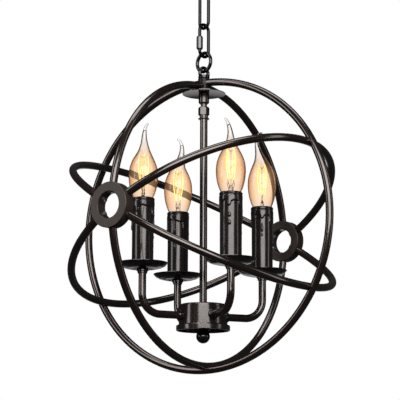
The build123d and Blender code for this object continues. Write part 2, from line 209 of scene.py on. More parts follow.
def wax_material():
    """Glossy black-brown candle shell; the crowns of the runs are a touch browner than the flat wall."""
    m = Mat("candle_shell")
    cloud = m.noise(60.0, 4.0, 0.6)
    col = m.ramp(cloud, [(0.3, (0.0085, 0.0060, 0.0052)), (0.7, (0.0145, 0.0105, 0.0092))])
    geo = m.n("ShaderNodeNewGeometry")
    crown = m.maprange(geo.outputs["Pointiness"], 0.52, 0.62, 0.0, 0.4)
    col = m.mixc(crown, col, (0.016, 0.012, 0.010))
    m.link(col, m.bsdf.inputs["Base Color"])
    m.link(m.maprange(m.noise(110.0, 2.0, 0.5), 0.3, 0.7, 0.20, 0.28), m.bsdf.inputs["Roughness"])
    m.link(m.bump(m.noise(70.0, 1.0, 0.5), 0.2, 0.03 * MM), m.bsdf.inputs["Normal"])
    m.bsdf.inputs["Coat Weight"].default_value = 0.60
    m.bsdf.inputs["Coat Roughness"].default_value = 0.04
    m.bsdf.inputs["Specular Tint"].default_value = (1.0, 0.90, 0.86, 1)
    return m.m


WAX = wax_material()


def metal(name, base, alt, rough, spread, streak=(1, 1, 1)):
    m = Mat(name)
    f = m.noise(260.0, 4.0, 0.6, m.coords(streak))
    g = m.noise(45.0, 3.0, 0.5)
    m.link(m.ramp(g, [(0.3, base), (0.7, alt)]), m.bsdf.inputs["Base Color"])
    m.link(m.maprange(f, 0.3, 0.7, rough - spread, rough + spread), m.bsdf.inputs["Roughness"])
    m.link(m.bump(f, 0.2, 0.03 * MM), m.bsdf.inputs["Normal"])
    m.set(Metallic=1.0)
    return m.m


ZINC = metal("zinc_plate", (0.56, 0.57, 0.57), (0.68, 0.68, 0.66), 0.34, 0.08, (1, 1, 6))
BRASS = metal("nickel_brass", (0.74, 0.62, 0.38), (0.80, 0.70, 0.48), 0.26, 0.07)
COPPER = metal("lead_wire", (0.50, 0.20, 0.06), (0.62, 0.28, 0.10), 0.36, 0.06)
TIN = metal("solder", (0.70, 0.70, 0.69), (0.78, 0.78, 0.77), 0.38, 0.08)


def plastic(name, a, b, rough):
    m = Mat(name)
    m.link(m.ramp(m.noise(90.0, 4.0), [(0.3, a), (0.7, b)]), m.bsdf.inputs["Base Color"])
    m.link(m.maprange(m.noise(500.0, 2.0), 0.3, 0.7, rough - 0.06, rough + 0.06), m.bsdf.inputs["Roughness"])
    m.link(m.bump(m.noise(700.0, 2.0), 0.3, 0.03 * MM), m.bsdf.inputs["Normal"])
    return m.m


SOCKET = plastic("black_moulding", (0.012, 0.012, 0.012), (0.020, 0.019, 0.018), 0.5)
INSULATOR = plastic("vitrite", (0.010, 0.010, 0.012), (0.016, 0.015, 0.016), 0.25)


def glass_material():
    """Clear bulb glass, amber through the belly and clear at the foot and tip."""
    m = Mat("amber_glass")
    tc = m.n("ShaderNodeTexCoord")
    sep = m.n("ShaderNodeSeparateXYZ")
    m.link(tc.outputs["Object"], sep.inputs[0])
    z = m.maprange(sep.outputs["Z"], ZC + 0.016, ZC + 0.134, 0.0, 1.0)
    clear = m.ramp(z, [(0.00, (0.985, 0.965, 0.94)), (0.08, (0.975, 0.92, 0.86)), (0.20, (0.965, 0.845, 0.72)),
                       (0.40, (0.955, 0.81, 0.64)), (0.56, (0.965, 0.84, 0.70)), (0.68, (0.98, 0.925, 0.87)), (0.82, (0.985, 0.965, 0.95))])
    deep = m.ramp(z, [(0.00, (0.95, 0.90, 0.85)), (0.08, (0.90, 0.775, 0.65)), (0.20, (0.80, 0.56, 0.39)),
                      (0.40, (0.76, 0.47, 0.30)), (0.56, (0.80, 0.53, 0.36)), (0.68, (0.90, 0.77, 0.65)), (0.82, (0.95, 0.915, 0.89))])
    streak = m.noise(70.0, 3.0, 0.5, m.coords((1.0, 1.0, 0.30)))
    belly = m.math("MULTIPLY", m.maprange(sep.outputs["Z"], ZC + 0.030, ZC + 0.045, 0.0, 1.0), m.maprange(sep.outputs["Z"], ZC + 0.078, ZC + 0.095, 1.0, 0.0))
    clear = m.mixc(m.math("MULTIPLY", m.maprange(streak, 0.50, 0.68, 0.0, 0.8), belly), clear, (0.995, 0.96, 0.90))
    clear = m.mixc(m.math("MULTIPLY", m.maprange(streak, 0.48, 0.32, 0.0, 0.8), belly), clear, (0.90, 0.68, 0.45))
    lw = m.n("ShaderNodeLayerWeight")
    lw.inputs["Blend"].default_value = 0.5
    facing = lw.outputs["Facing"]
    tint = m.mixc(m.maprange(facing, 0.06, 0.55, 0.0, 1.0), clear, deep)
    # painted dark outline: the narrow neck and tail get a near-black tint at their grazing edges, more than the belly
    # does; partly the longer path through the glass, partly painted shade standing in for dark reflections
    first = m.maprange(sep.outputs["Z"], ZC + 0.072, ZC + 0.106, 0.56, 0.12)
    painted_dark_rim = m.math("DIVIDE", m.math("SUBTRACT", facing, first), 0.32)
    painted_dark_rim = m.math("MINIMUM", m.math("MAXIMUM", painted_dark_rim, 0.0), 1.0)
    tint = m.mixc(m.math("MULTIPLY", painted_dark_rim, 0.97), tint, (0.17, 0.12, 0.10))
    m.link(tint, m.bsdf.inputs["Base Color"])
    m.link(m.bump(m.noise(26.0, 1.0, 0.5), 0.2, 0.04 * MM), m.bsdf.inputs["Normal"])
    # painted glow: the glass round the lit thread is given its own emission, whitest in the middle, as if the thread's
    # light glowed in the glass
    painted_glow_core = m.math("MULTIPLY", m.maprange(facing, 0.02, 0.42, 1.0, 0.0), belly)
    m.link(m.mixc(painted_glow_core, (1.0, 0.56, 0.32), (1.0, 0.82, 0.50)), m.bsdf.inputs["Emission Color"])
    path = m.n("ShaderNodeLightPath")
    direct = m.math("LESS_THAN", m.math("ADD", path.outputs["Glossy Depth"], path.outputs["Diffuse Depth"]), 0.5)
    # painted glow strength: a faint glow over the belly, stronger in its middle
    painted_glow_height = m.math("MULTIPLY", m.maprange(sep.outputs["Z"], ZC + 0.022, ZC + 0.040, 0.3, 1.0), m.maprange(sep.outputs["Z"], ZC + 0.078, ZC + 0.105, 1.0, 0.0))
    glow = m.math("ADD", m.math("MULTIPLY", painted_glow_height, 0.035), m.math("MULTIPLY", painted_glow_core, 0.045))
    m.link(m.math("MULTIPLY", glow, direct), m.bsdf.inputs["Emission Strength"])
    m.set(Roughness=0.0, IOR=1.40)
    m.bsdf.inputs["Transmission Weight"].default_value = 1.0
    return m.m


GLASS = glass_material()
GLASS.cycles.emission_sampling = "NONE"


def clear_glass():
    m = Mat("stem_glass")
    m.link(m.ramp(m.noise(120.0, 2.0), [(0.3, (0.97, 0.95, 0.92)), (0.7, (0.93, 0.90, 0.86))]), m.bsdf.inputs["Base Color"])
    m.set(Roughness=0.02, IOR=1.5)
    m.bsdf.inputs["Transmission Weight"].default_value = 1.0
    return m.m


STEMGLASS = clear_glass()


def filament_material():
    """Carbon thread at white-yellow heat, a little cooler towards its ends."""
    m = Mat("filament_glow")
    n = m.noise(140.0, 2.0)
    col = m.ramp(n, [(0.30, (1.0, 0.50, 0.10)), (0.52, (1.0, 0.66, 0.20)), (0.75, (1.0, 0.80, 0.38))])
    m.link(col, m.bsdf.inputs["Emission Color"])
    m.set(Base_Color=(0.05, 0.03, 0.02, 1), Roughness=0.6)
    path = m.n("ShaderNodeLightPath")
    first = m.math("LESS_THAN", m.math("ADD", path.outputs["Glossy Depth"], path.outputs["Diffuse Depth"]), 0.5)
    m.link(m.math("MULTIPLY", first, 2.6), m.bsdf.inputs["Emission Strength"])
    return m.m


GLOW = filament_material()
GLOW.cycles.emission_sampling = "NONE"


def put(obj, *mats):
    obj.data.materials.clear()
    for m in mats:
        obj.data.materials.append(m)


def smooth(obj, angle=35.0):
    """Smooth shading with creases kept."""
    obj.data.shade_smooth()
    bm_angle = math.radians(angle)
    try:
        obj.data.set_sharp_from_angle(angle=bm_angle)
    except AttributeError:
        pass


# ------------------------------------------------- finishes of the CAD nodes
FINISH = {
    TUBE: ["upright_hoop_top_right", "upright_hoop_top_left", "upright_hoop_bottom", "tilted_hoop_a_front", "tilted_hoop_a_back",
           "tilted_hoop_b_front", "tilted_hoop_b_back", "outer_hoop", "stem_tube", "arm_1", "arm_2", "arm_3", "arm_4"],
    BRONZE: ["top_disc", "upper_coupling", "coupling_neck", "lower_coupling", "stem_check_ring", "body_cup",
             "bottom_cover", "ceiling_canopy"],
    GLOSS: ["finial", "arm_collars", "drip_pan_1", "drip_pan_2", "drip_pan_3", "drip_pan_4", "arm_check_rings", "canopy_nut"],
    HUB: ["hub_ring_left", "hub_ring_right"],
    CROSSING_PAINTED_SHADE: ["top_cross_block"],
    LOOP: ["top_eye", "hanging_ring", "canopy_eye"],
    CHAIN: ["quick_link", "quick_link_nut", "chain_link"],
    ZINC: ["hub_screws", "hoop_end_plugs", "top_nipple", "stem_lock_nut", "arm_lock_nuts", "ceiling_crossbar", "canopy_nipple",
           "nipple_lock_nuts"],
    SOCKET: ["lampholders"],
}
for mat, names in FINISH.items():
    for name in names:
        put(NODES[name], mat)

# --------------------------------------------------------------- mesh makers


def new_mesh(name, verts, faces, mat, body, replaces=()):
    me = bpy.data.meshes.new(name)
    me.from_pydata([tuple(v) for v in verts], [], faces)
    me.validate()
    me.update()
    ob = bpy.data.objects.new(name, me)
    bpy.context.scene.collection.objects.link(ob)
    put(ob, mat)
    smooth(ob)
    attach(ob, body)
    if replaces:
        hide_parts(*replaces)
    return ob


def rings_to_mesh(rings, closed_ends=(True, True), cyclic=False):
    """rings: lists of points, all of one length, or single points at the poles."""
    verts, faces, starts = [], [], []
    for r in rings:
        starts.append((len(verts), len(r)))
        verts.extend(r)
    pairs = list(zip(starts[:-1], starts[1:]))
    if cyclic:
        pairs.append((starts[-1], starts[0]))
    for (a, na), (b, nb) in pairs:
        if na == 1 and nb == 1:
            continue
        if na == 1:
            faces += [(a, b + j, b + (j + 1) % nb) for j in range(nb)]
        elif nb == 1:
            faces += [(a + j, b, a + (j + 1) % na) for j in range(na)][::1]
        else:
            faces += [(a + j, b + j, b + (j + 1) % nb, a + (j + 1) % na) for j in range(na)]
    if not cyclic:
        if closed_ends[0] and starts[0][1] > 1:
            a, n = starts[0]
            faces.append(tuple(a + j for j in range(n)))
        if closed_ends[1] and starts[-1][1] > 1:
            a, n = starts[-1]
            faces.append(tuple(a + n - 1 - j for j in range(n)))
    return verts, faces


def outward(ob):
    import bmesh
    bm = bmesh.new()
    bm.from_mesh(ob.data)
    bmesh.ops.recalc_face_normals(bm, faces=bm.faces)
    bm.to_mesh(ob.data)
    bm.free()


def catmull(pts, t):
    """Catmull-Rom through pts, t from 0 to len-1."""
    n = len(pts)
    i = min(int(t), n - 2)
    f = t - i
    p0, p1, p2, p3 = pts[max(i - 1, 0)], pts[i], pts[i + 1], pts[min(i + 2, n - 1)]
    out = []
    for a, b, c, d in zip(p0, p1, p2, p3):
        out.append(0.5 * ((2 * b) + (-a + c) * f + (2 * a - 5 * b + 4 * c - d) * f * f + (-a + 3 * b - 3 * c + d) * f ** 3))
    return out


def interp(table, x):
    if x <= table[0][0]:
        return table[0][1]
    for (x0, y0), (x1, y1) in zip(table[:-1], table[1:]):
        if x <= x1:
            return y0 + (y1 - y0) * (x - x0) / (x1 - x0)
    return table[-1][1]


# ------------------------------------------------------------ candle sleeves
CAND_AZ = {1: 151.2, 2: 61.2, 3: 241.2, 4: -28.8}
PCR = 85.4
CXY = {i: (PCR * math.cos(math.radians(a)), PCR * math.sin(math.radians(a))) for i, a in CAND_AZ.items()}
CAM_ANGLE = math.atan2(TOCAM.y, TOCAM.x)

# runs: angle from the camera's side (degrees, + to the picture's right), end z, half width, height, beads [(z, gain)]
RUNS = {
    1: [(-88, -12, 1.5, 0.85, [(4, .5), (-9, .6)]), (80, -6, 1.5, 0.85, [(6, .6), (-3, .6)]), (62, 8, 1.7, 0.75, []), (-34, 11, 2.0, 0.7, []),
        (118, -22, 1.6, 0.8, [(-4, .5), (-19, .5)]), (158, 4, 1.8, 0.8, []), (196, -14, 1.6, 0.8, [(-2, .5), (-11, .5)]), (236, 2, 1.8, 0.8, [])],
    2: [(-22, 2, 1.5, 0.75, [(6, .5)]), (34, 6, 1.6, 0.75, [(8, .5)]), (88, -16, 1.5, 0.85, [(0, .5), (-13, .6)]), (-84, 3, 1.6, 0.85, [(6, .5)]),
        (126, 3, 1.8, 0.8, []), (165, -24, 1.6, 0.8, [(-8, .5), (-21, .5)]), (208, 4, 1.8, 0.8, []), (240, -8, 1.6, 0.8, [(-5, .5)])],
    3: [(-9, 11.5, 1.9, 0.95, []), (92, -10, 1.5, 0.85, [(5, .5), (-7, .6)]), (-86, 9, 1.8, 0.85, []), (52, 12, 2.0, 0.7, []),
        (128, -20, 1.6, 0.8, [(-2, .5), (-17, .6)]), (166, 5, 1.8, 0.8, []), (204, -12, 1.6, 0.8, [(-9, .5)]), (238, -28, 1.6, 0.8, [(-8, .5), (-25, .6)])],
    4: [(-2, 13.5, 1.8, 0.8, []), (-90, 4, 1.6, 0.85, [(7, .5)]), (86, -20, 1.5, 0.85, [(-2, .5), (-17, .6)]), (48, 9, 1.8, 0.7, []),
        (-50, 12, 1.9, 0.7, []), (124, 5, 1.8, 0.8, []), (160, -15, 1.6, 0.8, [(-3, .5), (-12, .5)]), (206, 3, 1.8, 0.8, []), (238, -10, 1.6, 0.8, [(-7, .5)])],
}
# separate drops on the wall: angle, z, half width, half height, height
DROPS = {
    1: [(98, -22, 1.4, 2.4, 0.5), (-70, -30, 1.3, 2.6, 0.45), (30, -4, 1.2, 2.2, 0.30)],
    2: [(-24, -8, 1.5, 3.0, 0.75), (-20, -19, 1.3, 2.4, 0.55), (40, -14, 1.3, 2.6, 0.45)],
    3: [(-8.5, -1.2, 2.1, 3.3, 0.95), (-8.5, -11.2, 2.1, 3.3, 0.95), (74, -24, 1.3, 2.6, 0.45)],
    4: [(-2.5, 0.0, 1.5, 6.0, 0.85), (-2.5, -9.5, 1.1, 2.2, 0.40), (70, 0, 1.3, 2.4, 0.45)],
}
# where the melted collar hangs lower: angle, how much, width in degrees
LOBES = {
    1: [(20, 1.5, 26), (-34, 2.5, 14), (62, 3.0, 14)],
    2: [(6, 2.0, 24), (-22, 3.0, 11), (34, 3.0, 12)],
    3: [(-9, 4.2, 12), (52, 2.0, 16), (-50, 1.5, 14)],
    4: [(-2, 3.6, 12), (48, 2.4, 15), (-50, 2.2, 15)],
}


def smax(a, b, k=0.25):
    h = max(k - abs(a - b), 0.0) / k
    return max(a, b) + h * h * k * 0.25


def sleeve(i, nt=240, nz=210):
    cx, cy = CXY[i]
    z0, z1 = -62.4, 29.0
    runs = RUNS[i]
    rnd = random.Random(31 + i)
    ph = [rnd.uniform(0, 6.28) for _ in range(8)]
    wob = [(rnd.uniform(0.15, 0.4), rnd.uniform(0.12, 0.2), rnd.uniform(0, 6.28)) for _ in runs]

    def turn_to(th, a):
        d = th - math.radians(a)
        return (d + math.pi) % (2 * math.pi) - math.pi

    def height(th, z):
        """Relief over the plain wall, in mm; th in radians from the camera's side."""
        h = 0.0
        low = 18.6 + 0.7 * math.sin(3 * th + ph[0]) + 0.5 * math.sin(7 * th + ph[1])
        for a, drop, wide in LOBES[i]:
            low -= drop * math.exp(-(turn_to(th, a) / math.radians(wide)) ** 2)
        t = (z - low) / 1.5
        if t > -1:
            c = max(0.0, min(1.0, (t + 1) / 2))
            h = (1.06 + 0.12 * math.sin(5 * th + ph[6])) * math.sqrt(max(0.0, 1 - (1 - c) ** 2))
            h -= 0.42 * math.exp(-((z - 25.0 - 0.5 * math.sin(4 * th + ph[7])) / 0.95) ** 2)      # groove under the rolled lip
        for (a, ze, w, hh, beads), (wa, wf, wp) in zip(runs, wob):
            if z > 22 or z < ze - w - 1.5:
                continue
            arc = turn_to(th, a) * 14.2 - wa * math.sin(wf * z + wp)
            if abs(arc) > 8:
                continue
            taper = 1.0 + 0.9 * max(0.0, min(1.0, (z - 11.0) / 8.0))         # flares where it leaves the collar
            g = 1.0 + 0.22 * math.exp(-((z - ze - 1.5) / 2.4) ** 2)          # fat end of the run
            for bz, bg in beads:
                g += bg * 0.40 * math.exp(-((z - bz) / 1.9) ** 2)
            ww = w * taper * (0.80 + 0.20 * g)
            q = (arc / ww) ** 2 + (max(ze - z, 0.0) / (w * 0.95)) ** 2
            if q < 1:
                h = smax(h, 1.25 * hh * min(g, 1.25) * math.sqrt(1 - q))
        for a, zc, w, hz, hh in DROPS[i]:
            q = (turn_to(th, a) * 14.2 / (w * (1.0 - 0.25 * (z - zc) / hz))) ** 2 + ((z - zc) / hz) ** 2
            if q < 1:
                h = smax(h, 1.25 * hh * math.sqrt(1 - q))
        lump = 0.035 * math.sin(2 * th + 0.07 * z + ph[3]) + 0.025 * math.sin(5 * th - 0.11 * z + ph[4])
        return h + lump

    zs = [z0]
    z = z0
    while z < 27.2:
        z += 0.62 if z < -36 else 0.34
        zs.append(min(z, 27.2))
    rings = []
    ang0 = CAM_ANGLE
    for z in zs:
        ring = []
        for j in range(nt):
            th = 2 * math.pi * j / nt
            h = height(th, z)
            foot = max(0.0, 1 - (z - z0) / 2.0) * 0.25
            r = min(13.95 + h + foot, 15.35)
            a = ang0 + th
            ring.append(P(cx + r * math.cos(a), cy + r * math.sin(a), z))
        rings.append(ring)
    top = rings[-1]
    c = P(cx, cy, 27.2)
    for dr, dz in ((-0.22, 0.75), (-0.62, 1.35), (-1.05, 1.70), (-1.5, 1.80), (-1.85, 1.55), (-2.0, 1.0)):
        ring = []
        for p in top:
            v = p - c
            r = v.length / MM
            f = max(13.02, r + dr) / r
            if dz < 1.1 and dr < -1.9:
                f = 13.02 / r
            ring.append(Vector((c.x + v.x * f, c.y + v.y * f, c.z + dz * MM)))
        rings.append(ring)
    for z in (24.0, 12.0, -10.0, -36.0, -60.0, z0):
        rings.append([P(cx + 13.0 * math.cos(ang0 + 2 * math.pi * j / nt), cy + 13.0 * math.sin(ang0 + 2 * math.pi * j / nt), z) for j in range(nt)])
    v, f = rings_to_mesh(rings, cyclic=True)
    ob = new_mesh(f"candle_shell_{i}", v, f, WAX, "orb", [f"candle_sleeve_{i}"])
    outward(ob)
    ob.data.shade_smooth()
    return ob


for i in (1, 2, 3, 4):
    sleeve(i)

# ---------------------------------------------------------------- sleeve nut
def sleeve_nut(nt=120):
    """Hexagonal nut with turned ends on the quick link's leg, one flat towards the front."""
    z0, z1, turn = 235.2, 253.4, math.radians(-8.1)
    cx, cy = -8.2 * math.cos(turn), -8.2 * math.sin(turn)
    face = math.atan2(TOCAM.y, TOCAM.x)

    def hexr(a, top):
        d = (a - face + math.pi / 6) % (math.pi / 3) - math.pi / 6
        flat = 4.0 / math.cos(d)
        return flat if flat < top - 0.12 else top - 0.12 * math.exp(-(flat - top + 0.12) / 0.12)

    rows = [(z0, 3.42), (z0 + 0.25, 3.58), (z0 + 0.9, 3.95), (z0 + 1.6, 4.22), (z0 + 2.1, 4.30), (z1 - 2.1, 4.30), (z1 - 1.6, 4.22),
            (z1 - 0.9, 3.95), (z1 - 0.25, 3.58), (z1, 3.42)]
    rings = []
    for z, top in rows:
        ring = []
        for j in range(nt):
            a = 2 * math.pi * j / nt
            r = min(hexr(a, 4.30), top)
            ring.append(P(cx + r * math.cos(a), cy + r * math.sin(a), z))
        rings.append(ring)
    for z in (z1, z0):
        rings.append([P(cx + 2.24 * math.cos(2 * math.pi * j / nt), cy + 2.24 * math.sin(2 * math.pi * j / nt), z) for j in range(nt)])
    v, f = rings_to_mesh(rings, cyclic=True)
    ob = new_mesh("sleeve_nut", v, f, NUT, "sleeve_nut", ["quick_link_nut"])
    outward(ob)
    smooth(ob, 20)
    return ob


sleeve_nut()

# -------------------------------------------------------------------- bulbs
GLASS_R = [(16.2, 5.95), (19.6, 6.05), (21.6, 7.4), (25.0, 10.0), (29.0, 12.4), (35.5, 15.2), (45.0, 17.8), (55.0, 19.0), (62.0, 19.0),
           (70.5, 17.9), (79.5, 14.9), (87.0, 11.2), (94.0, 7.8), (101.5, 5.4), (109.5, 3.8), (118.0, 2.75), (126.0, 1.95), (131.0, 1.4)]
# centreline of each bulb: (offset to the picture's right, height), mm
LINES = {
    1: [(0, 16.2), (0, 40), (0, 60), (0.1, 75), (0.7, 88), (0.8, 100), (0.7, 110), (1.3, 118), (2.8, 123.5), (5.0, 126.6)],
    2: [(0, 16.2), (0, 40), (0, 60), (0, 75), (0.6, 88), (2.4, 98), (4.0, 107), (4.9, 115), (4.4, 122), (2.4, 127.6), (-0.4, 130.2)],
    3: [(0, 16.2), (0, 40), (0, 60), (0, 75), (-0.1, 88), (-0.3, 98), (-0.7, 106), (-1.8, 113), (-4.0, 119.5), (-6.8, 124.6)],
    4: [(0, 16.2), (0, 40), (0, 60), (0, 74), (-1.0, 87), (-2.6, 97), (-4.6, 106), (-6.2, 114), (-6.6, 121.6), (-4.6, 127.6), (-0.6, 130.6)],
}


def section_path(i, samples=150):
    pts = LINES[i]
    raw = [catmull(pts, t * (len(pts) - 1) / samples) for t in range(samples + 1)]
    return raw


def bulb_glass(i, nt=72):
    cx, cy = CXY[i]
    path = section_path(i)
    axis = []
    L = 0.0
    for k, (s, z) in enumerate(path):
        if k:
            L += math.hypot(s - path[k - 1][0], z - path[k - 1][1])
        axis.append((s, z, L))
    total = L
    z_eq = lambda l: 16.2 + l * (131.0 - 16.2) / total

    def ring(k, r):
        s, z, l = axis[k]
        a, b = axis[max(k - 1, 0)], axis[min(k + 1, len(axis) - 1)]
        t = Vector((b[0] - a[0], 0, b[1] - a[1])).normalized()
        e1 = Vector((t.z, 0, -t.x))
        pts = []
        for j in range(nt):
            an = 2 * math.pi * j / nt
            u, w = math.cos(an) * r, math.sin(an) * r
            off_r = s + e1.x * u
            q = RIGHT * (off_r * MM) + TOCAM * (w * MM)
            pts.append(Vector((cx * MM + q.x, cy * MM + q.y, (z + e1.z * u) * MM + ZC)))
        return pts

    outer = []
    for k in range(len(axis)):
        outer.append(ring(k, interp_s(z_eq(axis[k][2]))))
    # rounded tip
    s, z, l = axis[-1]
    a = axis[-2]
    t = Vector((s - a[0], 0, z - a[1])).normalized()
    r_end = interp_s(131.0)
    for ang in (30, 60):
        f = math.cos(math.radians(ang))
        d = math.sin(math.radians(ang)) * r_end
        base = ring(len(axis) - 1, r_end * f)
        outer.append([p + (RIGHT * (t.x * d * MM) + Vector((0, 0, t.z * d * MM))) for p in base])
    cpt = Vector((cx * MM, cy * MM, z * MM + ZC)) + RIGHT * (s * MM) + RIGHT * (t.x * r_end * MM) + Vector((0, 0, t.z * r_end * MM))
    outer.append([cpt])
    # inner wall, up to where the tail turns solid
    inner = []
    last = None
    for k in range(len(axis)):
        ze = z_eq(axis[k][2])
        if ze > 121.5:
            break
        wall = 0.55 if ze < 90 else 0.55 + (ze - 90) * 0.004
        r = interp_s(ze) - wall
        inner.append(ring(k, max(r, 0.35)))
        last = k
    s, z, l = axis[last + 2]
    inner.append([Vector((cx * MM, cy * MM, z * MM + ZC)) + RIGHT * (s * MM)])
    rings = [inner_ring for inner_ring in reversed(inner)] + outer
    v, f = rings_to_mesh(rings, closed_ends=(False, False))
    ob = new_mesh(f"bulb_glass_{i}", v, f, GLASS, f"bulb_{i}", [f"bulb_{i}_glass"])
    outward(ob)
    ob.data.shade_smooth()
    return ob


def interp_s(z):
    """Smooth radius of the bulb at a height measured along its centreline."""
    pts = GLASS_R
    if z <= pts[0][0]:
        return pts[0][1]
    for k in range(len(pts) - 1):
        if z <= pts[k + 1][0]:
            x0, y0 = pts[k]
            x1, y1 = pts[k + 1]
            m0 = (y1 - pts[k - 1][1]) / (x1 - pts[k - 1][0]) if k else (y1 - y0) / (x1 - x0)
            m1 = (pts[k + 2][1] - y0) / (pts[k + 2][0] - x0) if k + 2 < len(pts) else (y1 - y0) / (x1 - x0)
            h = x1 - x0
            t = (z - x0) / h
            return ((2 * t ** 3 - 3 * t ** 2 + 1) * y0 + (t ** 3 - 2 * t ** 2 + t) * h * m0
                    + (-2 * t ** 3 + 3 * t ** 2) * y1 + (t ** 3 - t ** 2) * h * m1)
    return pts[-1][1]


def lathe(name, profile, cx, cy, mat, body, nt=64, replaces=(), closed=True):
    rings = []
    for r, z in profile:
        if r < 1e-6:
            rings.append([P(cx, cy, z)])
        else:
            rings.append([P(cx + r * math.cos(2 * math.pi * j / nt), cy + r * math.sin(2 * math.pi * j / nt), z) for j in range(nt)])
    solid_axis = profile[0][0] < 1e-6
    v, f = rings_to_mesh(rings, cyclic=not solid_axis, closed_ends=(False, False))
    ob = new_mesh(name, v, f, mat, body, replaces)
    outward(ob)
    smooth(ob, 40)
    return ob


def thread_shell(i, nt=72):
    """The bulb's screw shell: a rolled round thread, seven turns at 3 mm pitch, open at the top."""
    cx, cy = CXY[i]
    z0, z1 = -1.2, 19.6
    n = 150
    outer, inner = [], []
    for k in range(n + 1):
        z = z0 + (z1 - z0) * k / n
        fade = max(0.0, min(1.0, (z - z0 - 0.6) / 1.2, (z1 - 2.2 - z) / 1.2))
        ro, ri = [], []
        for j in range(nt):
            a = 2 * math.pi * j / nt
            w = 0.5 + 0.5 * math.sin(2 * math.pi * (z / 3.0) - a)
            r = 6.35 + 0.50 * w * fade
            ro.append(P(cx + r * math.cos(a), cy + r * math.sin(a), z))
            ri.append(P(cx + (r - 0.3) * math.cos(a), cy + (r - 0.3) * math.sin(a), z))
        outer.append(ro)
        inner.append(ri)
    v, f = rings_to_mesh(outer + inner[::-1], cyclic=True)
    ob = new_mesh(f"bulb_screw_shell_{i}", v, f, BRASS, f"bulb_{i}")
    outward(ob)
    ob.data.shade_smooth()
    return ob


def tube_mesh(name, pts, r, mat, body, nt=10, caps=True):
    """A round wire along points (row metres), radius in mm, rings turned with the line."""
    n = len(pts)
    tang = []
    for k in range(n):
        a, b = pts[max(k - 1, 0)], pts[min(k + 1, n - 1)]
        tang.append((b - a).normalized())
    nrm = tang[0].orthogonal().normalized()
    rings = []
    for k in range(n):
        if k:
            axis = tang[k - 1].cross(tang[k])
            if axis.length > 1e-9:
                ang = tang[k - 1].angle(tang[k])
                nrm = Matrix.Rotation(ang, 3, axis.normalized()) @ nrm
        b = tang[k].cross(nrm).normalized()
        rr = r(k / (n - 1)) if callable(r) else r
        rings.append([pts[k] + (nrm * math.cos(2 * math.pi * j / nt) + b * math.sin(2 * math.pi * j / nt)) * rr * MM for j in range(nt)])
    rings = [[pts[0] - tang[0] * 0.0]] * 0 + rings
    v, f = rings_to_mesh(rings, closed_ends=(True, True))
    ob = new_mesh(name, v, f, mat, body)
    outward(ob)
    ob.data.shade_smooth()
    return ob


def spline3(points, per=10):
    out = []
    for t in range((len(points) - 1) * per + 1):
        out.append(Vector(catmull(points, t / per)))
    return out


